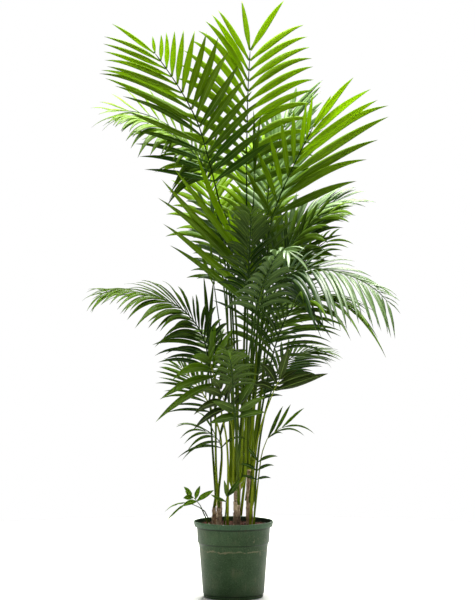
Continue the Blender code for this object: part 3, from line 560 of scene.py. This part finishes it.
def makeSoil(peat):
    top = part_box("soil")[1].z
    edge = soilShape["edge"]
    rings = soilShape["rings"]
    outline = [(edge * step / rings, top) for step in range(rings + 1)]
    shoulder, depth = soilShape["shoulder"]
    outline += [(shoulder, top - depth), soilShape["waist"], soilShape["foot"], (0, soilShape["under"])]
    bm = bmesh.new()
    spun(bm, outline, soilShape["sides"])
    for vert in bm.verts:
        if vert.co.z > top - 0.0001:
            vert.co.z = soilTop(vert.co.x, vert.co.y)
    finishPiece(bm, "soil_bed", [peat], "soil_peat", ["soil"])
    chance = random.Random(soilShape["seed"])
    bm = bmesh.new()
    for _ in range(soilShape["chips"]):
        radius = edge * math.sqrt(chance.random()) * 0.97
        angle = chance.uniform(0, math.tau)
        x, y = radius * math.cos(angle), radius * math.sin(angle)
        size = chance.uniform(*soilShape["chipSize"])
        shape = Matrix.Diagonal((size * chance.uniform(1, 2.4), size, size * chance.uniform(0.4, 0.9), 1))
        turn = Matrix.Rotation(chance.uniform(0, math.tau), 4, "Z")
        turn = turn @ Matrix.Rotation(chance.uniform(-0.5, 0.5), 4, "X")
        move = Matrix.Translation((x, y, soilTop(x, y) + size * 0.2))
        bmesh.ops.create_icosphere(bm, subdivisions=1, radius=1, matrix=move @ turn @ shape)
    finishPiece(bm, "soil_chips", [peat], "soil_peat", smooth=False)


caneShape = {
    "around": 28,
    "along": 40,
    "buried": 0.008,
    "ridge": 0.0010,
    "scarSpacing": 0.032,
    "swell": 0.0011,
    "flare": 0.0025,
    "wraps": 4,
    "wrapGrid": (18, 7),
    "wrapFeet": (0.12, 0.72),  # the lowest and the highest, as shares of the cane's height
    "wrapRise": (0.16, 0.30),
    "wrapSweep": (170, 300),  # degrees round the cane
    "wrapWall": 0.0005,
}


def readCane(name):
    corners = sorted((Vector(vert.co) for vert in cadNodes[name].data.vertices), key=lambda co: co.z)
    ends = []
    for z in (corners[0].z, corners[-1].z):
        level = [co for co in corners if abs(co.z - z) < 0.0001]
        middle = sum(level, Vector()) / len(level)
        ends.append((middle, max((co - middle).length for co in level)))
    return ends


def makeCane(name, fibre, papery):
    (foot, footRadius), (top, topRadius) = readCane(name)
    chance = random.Random(name)
    start = chance.uniform(0, 1)
    foot = foot - up * caneShape["buried"]

    def place(turn, share):
        angle = turn * math.tau
        z = foot.z + (top.z - foot.z) * share
        ring = ((z / caneShape["scarSpacing"] + start) % 1) ** 4
        radius = mix(footRadius, topRadius, share) - 0.0008 + ring * caneShape["swell"]
        out = Vector((math.cos(angle), math.sin(angle), 0))
        radius += noise.noise(out * 5 + up * (z * 12)) * caneShape["ridge"]
        flare = caneShape["flare"] * max(0, 1 - share * 7) ** 2
        return foot.lerp(top, share) + out * (radius + flare)

    bm = bmesh.new()
    addTube(bm, caneShape["around"], caneShape["along"], place)
    bmesh.ops.recalc_face_normals(bm, faces=bm.faces)
    finishPiece(bm, name + "_stem", [fibre], "cane_fibre", [name])
    bm = bmesh.new()
    for wrap in range(caneShape["wraps"]):
        low = mix(*caneShape["wrapFeet"], wrap / (caneShape["wraps"] - 1))
        high = low + chance.uniform(*caneShape["wrapRise"])
        begin = chance.uniform(0, math.tau)
        sweep = math.radians(chance.uniform(*caneShape["wrapSweep"]))
        columns, rows = caneShape["wrapGrid"]
        grid = bmesh.ops.create_grid(bm, x_segments=columns, y_segments=rows, size=0.5)["verts"]
        for vert in grid:
            turn, rise = vert.co.x + 0.5, vert.co.y + 0.5
            angle = begin + sweep * turn
            # the upper edge is torn, and lowest at its two ends
            ragged = 1 - 0.55 * abs(noise.noise(Vector((turn * 6, wrap * 3.1, start * 9))))
            ragged *= 1 - 1.2 * (turn - 0.5) ** 2
            share = min(mix(low, mix(low, high, ragged), rise), 1.0)
            radius = mix(footRadius, topRadius, share) + 0.0004 + 0.0011 * rise**2
            radius += noise.noise(Vector((turn * 9, rise * 2, wrap * 5))) * 0.0005
            out = Vector((math.cos(angle), math.sin(angle), 0))
            vert.co = foot.lerp(top, share) + out * radius
    piece = finishPiece(bm, name + "_sheaths", [papery], "cane_fibre")
    addWall(piece, caneShape["wrapWall"])


# how the CAD leaves are made: where a leaflet bends, and the corners of a stalk against its radius
cadLeaf = {"bendAt": 0.64, "corner": 1.28}
leafletShape = {
    "across": 4,
    "along": 10,
    "footWidth": 0.34,  # as a share of the full width, which is reached at fullAt
    "fullAt": 0.30,
    "taperFrom": 0.34,
    "taper": 1.9,
    "widen": 1.06,
    "foldAtFoot": 32,  # degrees that each half turns down from the midvein
    "foldAtTip": 7,
    "tipFall": 0.065,  # extra fall of the tip, as a share of the length
    "ripple": 0.0016,
    "twist": 16,  # degrees over the length, at most
    "wall": 0.0004,
}
# how much lighter or darker than its place tells a palm leaf is painted: partly its age, partly painted light
# and shade on the whole leaf
leafTintsAndShade = {
    "frond_front_left_fan": 0.45, "frond_left_arch": 0.15, "frond_right_mid": 0.12, "frond_low_left": 0.08,
    "frond_mid_left": 0.0, "spear_tall": -0.2, "frond_right_arch": -0.15, "frond_front_arch": -0.36,
    "frond_core_dark": -0.42, "frond_core_left": -0.15, "frond_core_right": 0.1, "frond_upper_right": 0.05,
    "frond_right_high": -0.20, "frond_inner_left": -0.1, "frond_back_right": 0.40, "frond_upper_left": -0.27,
    "frond_inner_right": -0.15, "frond_front_low": -0.30, "seedling_left": 0.50, "seedling_long": 0.45,
    "leaf_small_right": 0.20, "frond_front_mid": -0.48, "frond_back_foot": -0.1,
}
# fine leaves that have one more leaflet in each gap than the CAD
fullLeaves = [
    "frond_low_left", "frond_right_arch", "frond_right_low", "frond_left_arch", "frond_right_high",
    "frond_right_mid", "frond_front_arch", "frond_back_left", "frond_back_mid", "frond_back_low",
    "frond_left_lower", "frond_low_right_spray", "frond_back_right", "frond_front_low", "frond_back_side",
    "frond_back_high", "frond_front_mid", "frond_back_far", "frond_back_foot",
]
paleStalks = [
    "frond_front_left_fan", "frond_front_mid_fan", "frond_low_right_fan", "frond_left_lower",
    "leaf_small_right",
]
stalkShape = {
    "around": 10,
    "spacing": 0.022,
    "channel": 0.26,
    "flat": 0.82,
    "widen": 1.02,
    "tipClose": 0.35,
    "rootReach": 0.036,  # a stalk this close to a cane, and above rootHeight, grows out of it
    "rootHeight": 0.29,
    "rootDrop": 0.034,
    "rootRadius": 0.0072,
    "sunk": 0.012,  # how far a stalk without a cane goes into the soil
    "rootLongest": 0.09,
}


def around(ring, *known):
    # the corners joined to a ring, but for those already known
    joined = {edge.other_vert(vert) for vert in ring for edge in vert.link_edges}
    return joined.difference(ring, *known)


def middleOf(ring):
    return sum((vert.co for vert in sorted(ring, key=lambda vert: vert.index)), Vector()) / len(ring)


def isTip(vert):
    # the point of a leaflet is the one corner whose edges all run the same way
    ways = [(edge.other_vert(vert).co - vert.co).normalized() for edge in vert.link_edges]
    return min(ways[0].dot(way) for way in ways) > 0.5


def readLeaflet(tip):
    outer = around([tip])
    inner = around(outer, [tip])
    root = around(inner, outer)
    start = min(inner, key=lambda vert: vert.index)
    corners = sorted(inner, key=lambda vert: (vert.co - start.co).length)
    width = (corners[2].co + corners[3].co - corners[0].co - corners[1].co) / 2
    foot, point = middleOf(root), tip.co.copy()
    share = cadLeaf["bendAt"]
    bent = (middleOf(outer) - foot * (1 - share) ** 2 - point * share**2) / (2 * share * (1 - share))
    heading = (middleOf(outer) - foot).normalized()
    top = heading.cross(width).normalized()
    if top.dot(Vector((0, -0.5, 1))) < 0:
        top = -top
    used = [tip, *outer, *inner]
    return {"foot": foot, "bend": bent, "tip": point, "top": top, "width": width.length, "used": used}


def readLeaf(name):
    # leaflets and midrib rings of a CAD palm leaf
    bm = bmesh.new()
    bm.from_mesh(cadNodes[name].data)
    bmesh.ops.remove_doubles(bm, verts=bm.verts, dist=0.00001)
    bm.verts.index_update()
    leaflets = [readLeaflet(vert) for vert in bm.verts if isTip(vert)]
    used = {vert for leaflet in leaflets for vert in leaflet["used"]}
    ring = set(sorted(set(bm.verts) - used, key=lambda vert: vert.co.z)[:4])
    rings, known = [], set()
    while ring:
        middle = middleOf(ring)
        spread = sum((vert.co - middle).length for vert in ring) / len(ring)
        rings.append((middle, spread / cadLeaf["corner"]))
        known |= ring
        ring = around(ring, known, used)
    for leaflet in leaflets:
        leaflet.pop("used")
    bm.free()
    return leaflets, rings


gapLeaflet = {"reach": (0.78, 1.0), "lift": 0.02, "width": 0.85}


def between(first, second, chance):
    # a leaflet that grows between two neighbours on the same side
    made = {key: mix(first[key], second[key], 0.5) for key in ("foot", "bend", "tip", "width")}
    made["top"] = (first["top"] + second["top"]).normalized()
    reach = chance.uniform(*gapLeaflet["reach"])
    lift = made["top"] * chance.uniform(-gapLeaflet["lift"], gapLeaflet["lift"])
    made["tip"] = mix(made["foot"], made["tip"], reach) + lift
    made["bend"] = mix(made["foot"], made["bend"], reach) + lift * 0.4
    made["width"] *= gapLeaflet["width"]
    return made


def filledOut(leaflets, rings, chance):
    # the leaflets of each side in order along the midrib, with one more in each gap
    tops = sum((leaflet["top"] for leaflet in leaflets), Vector()).normalized()
    sides = {True: [], False: []}
    for leaflet in leaflets:
        near = min(range(len(rings)), key=lambda index: (rings[index][0] - leaflet["foot"]).length)
        heading = rings[min(near + 1, len(rings) - 1)][0] - rings[max(near - 1, 0)][0]
        right = heading.cross(tops).dot(leaflet["tip"] - leaflet["foot"]) > 0
        sides[right].append((near, leaflet))
    made = []
    for side in sides.values():
        row = [leaflet for _, leaflet in sorted(side, key=lambda entry: entry[0])]
        made += row + [between(first, second, chance) for first, second in zip(row, row[1:])]
    return made


def addLeaflet(bm, layer, leaflet, shade, chance):
    shape = leafletShape
    foot, bend, tip, top = leaflet["foot"], leaflet["bend"], leaflet["tip"], leaflet["top"]
    length = (tip - foot).length
    half = leaflet["width"] / 2
    twist = math.radians(chance.uniform(-1, 1) * shape["twist"])
    sway = chance.uniform(-0.03, 0.03) * length
    phase = chance.uniform(0, 40)
    straight = (tip - foot).normalized()
    fall = shape["tipFall"] * chance.uniform(0.2, 1.5) * length * (1 - max(straight.z, 0)) ** 0.5
    sideways = straight.cross(top).normalized()
    grid = bmesh.ops.create_grid(bm, x_segments=shape["across"], y_segments=shape["along"], size=0.5)["verts"]
    for vert in grid:
        across, along = vert.co.x * 2, vert.co.y + 0.5
        middle = foot.lerp(bend, along).lerp(bend.lerp(tip, along), along)
        heading = mix(bend - foot, tip - bend, along).normalized()
        middle += sideways * sway * math.sin(math.pi * along) - up * fall * along**4
        rise = (top - heading * top.dot(heading)).normalized()
        rise.rotate(Matrix.Rotation(twist * along, 3, heading))
        side = heading.cross(rise)
        swell = mix(shape["footWidth"], 1, eased(along / shape["fullAt"]))
        taper = 1 - max(0, (along - shape["taperFrom"]) / (1 - shape["taperFrom"])) ** shape["taper"]
        reach = half * swell * taper * shape["widen"]
        fold = math.radians(mix(shape["foldAtFoot"], shape["foldAtTip"], min(along * 1.3, 1)))
        ripple = noise.noise(Vector((along * 7 + phase, across * 0.7, phase))) * shape["ripple"] * abs(across)
        place = middle + side * (reach * across * math.cos(fold))
        place -= rise * (reach * abs(across) * math.sin(fold))
        vert.co = place + rise * (ripple * min(1, (1 - along) * 4))
        vert[layer] = (across / 2 + 0.5, along, shade)
    bmesh.ops.remove_doubles(bm, verts=grid[-(shape["across"] + 1):], dist=0.0001)


def nearestCane(point):
    best = None
    for name in cadNodes:
        if not name.startswith("cane"):
            continue
        (foot, _), (top, _) = readCane(name)
        share = min(max((point.z - foot.z) / (top.z - foot.z), 0), 1)
        axis = foot.lerp(top, share)
        gap = math.hypot(point.x - axis.x, point.y - axis.y)
        if best is None or gap < best[0]:
            best = (gap, foot, top)
    return best


def rootOf(rings):
    # how a stalk goes on below its CAD foot: into its cane's leaf sheaths, or down into the soil
    (foot, radius), (second, _) = rings[0], rings[1]
    down = (foot - second).normalized()
    gap, caneFoot, caneTop = nearestCane(foot)
    if gap < stalkShape["rootReach"] and foot.z > stalkShape["rootHeight"]:
        height = foot.z - stalkShape["rootDrop"]
        share = min(max((height - caneFoot.z) / (caneTop.z - caneFoot.z), 0), 1)
        end = caneFoot.lerp(caneTop, share)
        end.z = height
        return [(end, radius * 1.1), (foot.lerp(end, 0.55) + down * 0.004, stalkShape["rootRadius"])]
    drop = foot.z - soilTop(foot.x, foot.y) + stalkShape["sunk"]
    end = foot + down * min(drop / max(-down.z, 0.3), stalkShape["rootLongest"])
    return [(end, radius * 1.1), (foot.lerp(end, 0.5), radius * 1.05)]


def smoothLine(rings):
    # places and radii along a stalk, evenly spaced on a smooth curve through its rings
    run = [0.0]
    for (first, _), (second, _) in zip(rings, rings[1:]):
        run.append(run[-1] + (second - first).length)
    slopes = []
    for index in range(len(rings)):
        low, high = max(index - 1, 0), min(index + 1, len(rings) - 1)
        slopes.append((rings[high][0] - rings[low][0]) / (run[high] - run[low]))
    count = max(6, int(run[-1] / stalkShape["spacing"]))
    line = []
    index = 0
    for step in range(count + 1):
        want = run[-1] * step / count
        while index < len(run) - 2 and run[index + 1] < want:
            index += 1
        span = run[index + 1] - run[index]
        share = (want - run[index]) / span
        (first, firstRadius), (second, secondRadius) = rings[index], rings[index + 1]
        bent = first * (2 * share**3 - 3 * share**2 + 1) + second * (3 * share**2 - 2 * share**3)
        bent += slopes[index] * (span * (share**3 - 2 * share**2 + share))
        bent += slopes[index + 1] * (span * (share**3 - share**2))
        line.append((bent, mix(firstRadius, secondRadius, share)))
    return line


def makeStalk(name, rings, top, shade, finish, slotName):
    line = smoothLine(rootOf(rings) + rings)
    last = len(line) - 1

    def place(turn, share):
        index = round(share * last)
        middle, radius = line[index]
        heading = (line[min(index + 1, last)][0] - line[max(index - 1, 0)][0]).normalized()
        side = heading.cross(top).normalized()
        rise = side.cross(heading)
        angle = turn * math.tau
        out, lift = math.cos(angle), math.sin(angle)
        hollow = 1 - stalkShape["channel"] * max(0, lift) ** 3
        wide = radius * stalkShape["widen"] * (stalkShape["tipClose"] if index == last else 1)
        return middle + (side * out + rise * (lift * stalkShape["flat"] * hollow)) * wide

    bm = bmesh.new()
    bm.verts.layers.float_vector.new("leafPlace")
    addTube(bm, stalkShape["around"], last, place, shade)
    bmesh.ops.recalc_face_normals(bm, faces=bm.faces)
    finishPiece(bm, name + "_stalk", [finish], slotName, [name])


# where leaves are painted lighter, as younger leaves and as painted light: out from the plant's middle, high
# up, and near the end of their midrib; low and deep within the plant they are painted darker, as painted
# shade
youngPlace = {
    "middle": 0.03,
    "outFrom": 0.05,
    "outOver": 0.35,
    "highFrom": 0.6,
    "highOver": 1.2,
    "out": 0.42,
    "high": 0.42,
    "along": 0.46,
    "least": -0.25,
}


def youthAndPaintedLight(leaflet, rings):
    # below 0 for older leaflets low and deep within the plant, which get painted shade, about 1 for new ones
    # at its top and edges, which get painted light
    foot, place = leaflet["foot"], youngPlace
    out = eased((math.hypot(foot.x - place["middle"], foot.y) - place["outFrom"]) / place["outOver"])
    high = eased((foot.z - place["highFrom"]) / place["highOver"])
    near = min(range(len(rings)), key=lambda index: (rings[index][0] - foot).length)
    return place["high"] * high + place["out"] * out + place["along"] * near / len(rings) + place["least"]


def makeLeaf(name, slotName, finishes):
    leaflets, rings = readLeaf(name)
    chance = random.Random(name)
    top = sum((leaflet["top"] for leaflet in leaflets), Vector()).normalized()
    # how much painted shade darkens this leaf's stalk, at random
    paintedStalkShade = chance.random()
    if name in paleStalks:
        makeStalk(name, rings, top, paintedStalkShade * 0.3, finishes["paleStalk"], slotName)
    else:
        makeStalk(name, rings, top, paintedStalkShade, finishes["stalk"], slotName)
    bm = bmesh.new()
    layer = bm.verts.layers.float_vector.new("leafPlace")
    # painted light and shade for the whole leaf, together with its age
    base = chance.uniform(-0.10, 0.10) + leafTintsAndShade.get(name, 0)
    if name in fullLeaves:
        leaflets = filledOut(leaflets, rings, chance)
    for leaflet in leaflets:
        shade = youthAndPaintedLight(leaflet, rings) + base + chance.uniform(-0.14, 0.14)
        addLeaflet(bm, layer, leaflet, shade, chance)
    piece = finishPiece(bm, name + "_leaflets", finishes[slotName], slotName, [name])
    addWall(piece, leafletShape["wall"], 1)
    return len(leaflets)


makePot(plasticFinish())
print("pot done")
makeSoil(soilFinish())
print("soil done")
fibre = fibreFinish("cane_fibre", (0.160, 0.108, 0.068), (0.620, 0.460, 0.300), True)
papery = fibreFinish("cane_sheath", (0.260, 0.180, 0.110), (0.720, 0.570, 0.390), False)
for name in cadNodes:
    if name.startswith("cane"):
        makeCane(name, fibre, papery)
print("canes done")
finishes = {
    "stalk": stalkFinish("leaf_stalk", (0.165, 0.235, 0.004), (0.020, 0.048, 0.002)),
    "paleStalk": stalkFinish("pale_stalk", (0.215, 0.275, 0.006), (0.175, 0.225, 0.012)),
}
for slotName, tone in leafTones.items():
    finishes[slotName] = [leafFinish(slotName, tone, True), leafFinish(slotName, tone, False)]
slots = {entry["node"]: entry["material_slot"] for entry in frame["record"]["subparts"]}
count = 0
for name in cadNodes:
    if slots[name].startswith("leaf"):
        count += makeLeaf(name, slots[name], finishes)
print("palm leaves done:", count, "leaflets")


studio = {
    "eye": Vector((0, -6.8, 1.04)),
    "lens": 120,
    "shift": (0.0067, -0.016),
    "floor": (0.90, 0.90, 0.89),
    "floorRadius": 2.4,
    "backdrop": 1.0,
    "fill": 0.092,
    "lampAim": Vector((0, 0, 1.1)),
}
# name: place, size, power, colour
lamps = {
    "overhead": ((0.2, 0.5, 4.4), 2.0, 610, (1.0, 0.99, 0.95)),
    "frontLeft": ((-3.0, -4.2, 3.6), 1.6, 66, (1.0, 1.0, 1.0)),
    "behind": ((0.8, 4.4, 3.0), 2.4, 205, (1.0, 1.0, 0.96)),
}


def makeStudio():
    bm = bmesh.new()
    bmesh.ops.create_circle(bm, cap_ends=True, segments=96, radius=studio["floorRadius"])
    mesh = bpy.data.meshes.new("floor")
    bm.to_mesh(mesh)
    bm.free()
    finish = Finish("floor_paint")
    mesh.materials.append(finish.done(finish.surface({"Base Color": studio["floor"], "Roughness": 0.9})))
    floor = bpy.data.objects.new("floor", mesh)
    bpy.context.scene.collection.objects.link(floor)
    for name, (place, size, power, colour) in lamps.items():
        light = bpy.data.lights.new(name, "AREA")
        light.energy = power
        light.size = size
        light.color = colour
        lamp = bpy.data.objects.new(name, light)
        lamp.location = place
        lamp.rotation_euler = (studio["lampAim"] - Vector(place)).to_track_quat("-Z", "Y").to_euler()
        bpy.context.scene.collection.objects.link(lamp)
    world = bpy.data.worlds.new("studio")
    world.use_nodes = True
    tree = world.node_tree
    back = tree.nodes["Background"]
    path = tree.nodes.new("ShaderNodeLightPath")
    level = tree.nodes.new("ShaderNodeMapRange")
    level.inputs["To Min"].default_value = studio["fill"]
    level.inputs["To Max"].default_value = studio["backdrop"]
    tree.links.new(path.outputs["Is Camera Ray"], level.inputs["Value"])
    tree.links.new(level.outputs["Result"], back.inputs["Strength"])
    back.inputs["Color"].default_value = (1, 1, 1, 1)
    bpy.context.scene.world = world
    camera = bpy.data.cameras.new("camera")
    camera.lens = studio["lens"]
    camera.shift_x, camera.shift_y = studio["shift"]
    camera.clip_end = 200
    eye = bpy.data.objects.new("camera", camera)
    eye.location = studio["eye"]
    eye.rotation_euler = (math.radians(90), 0, 0)
    bpy.context.scene.collection.objects.link(eye)
    bpy.context.scene.camera = eye
    bpy.context.scene.view_settings.view_transform = "Standard"


makeStudio()
bpy.context.view_layer.update()
print("studio done")
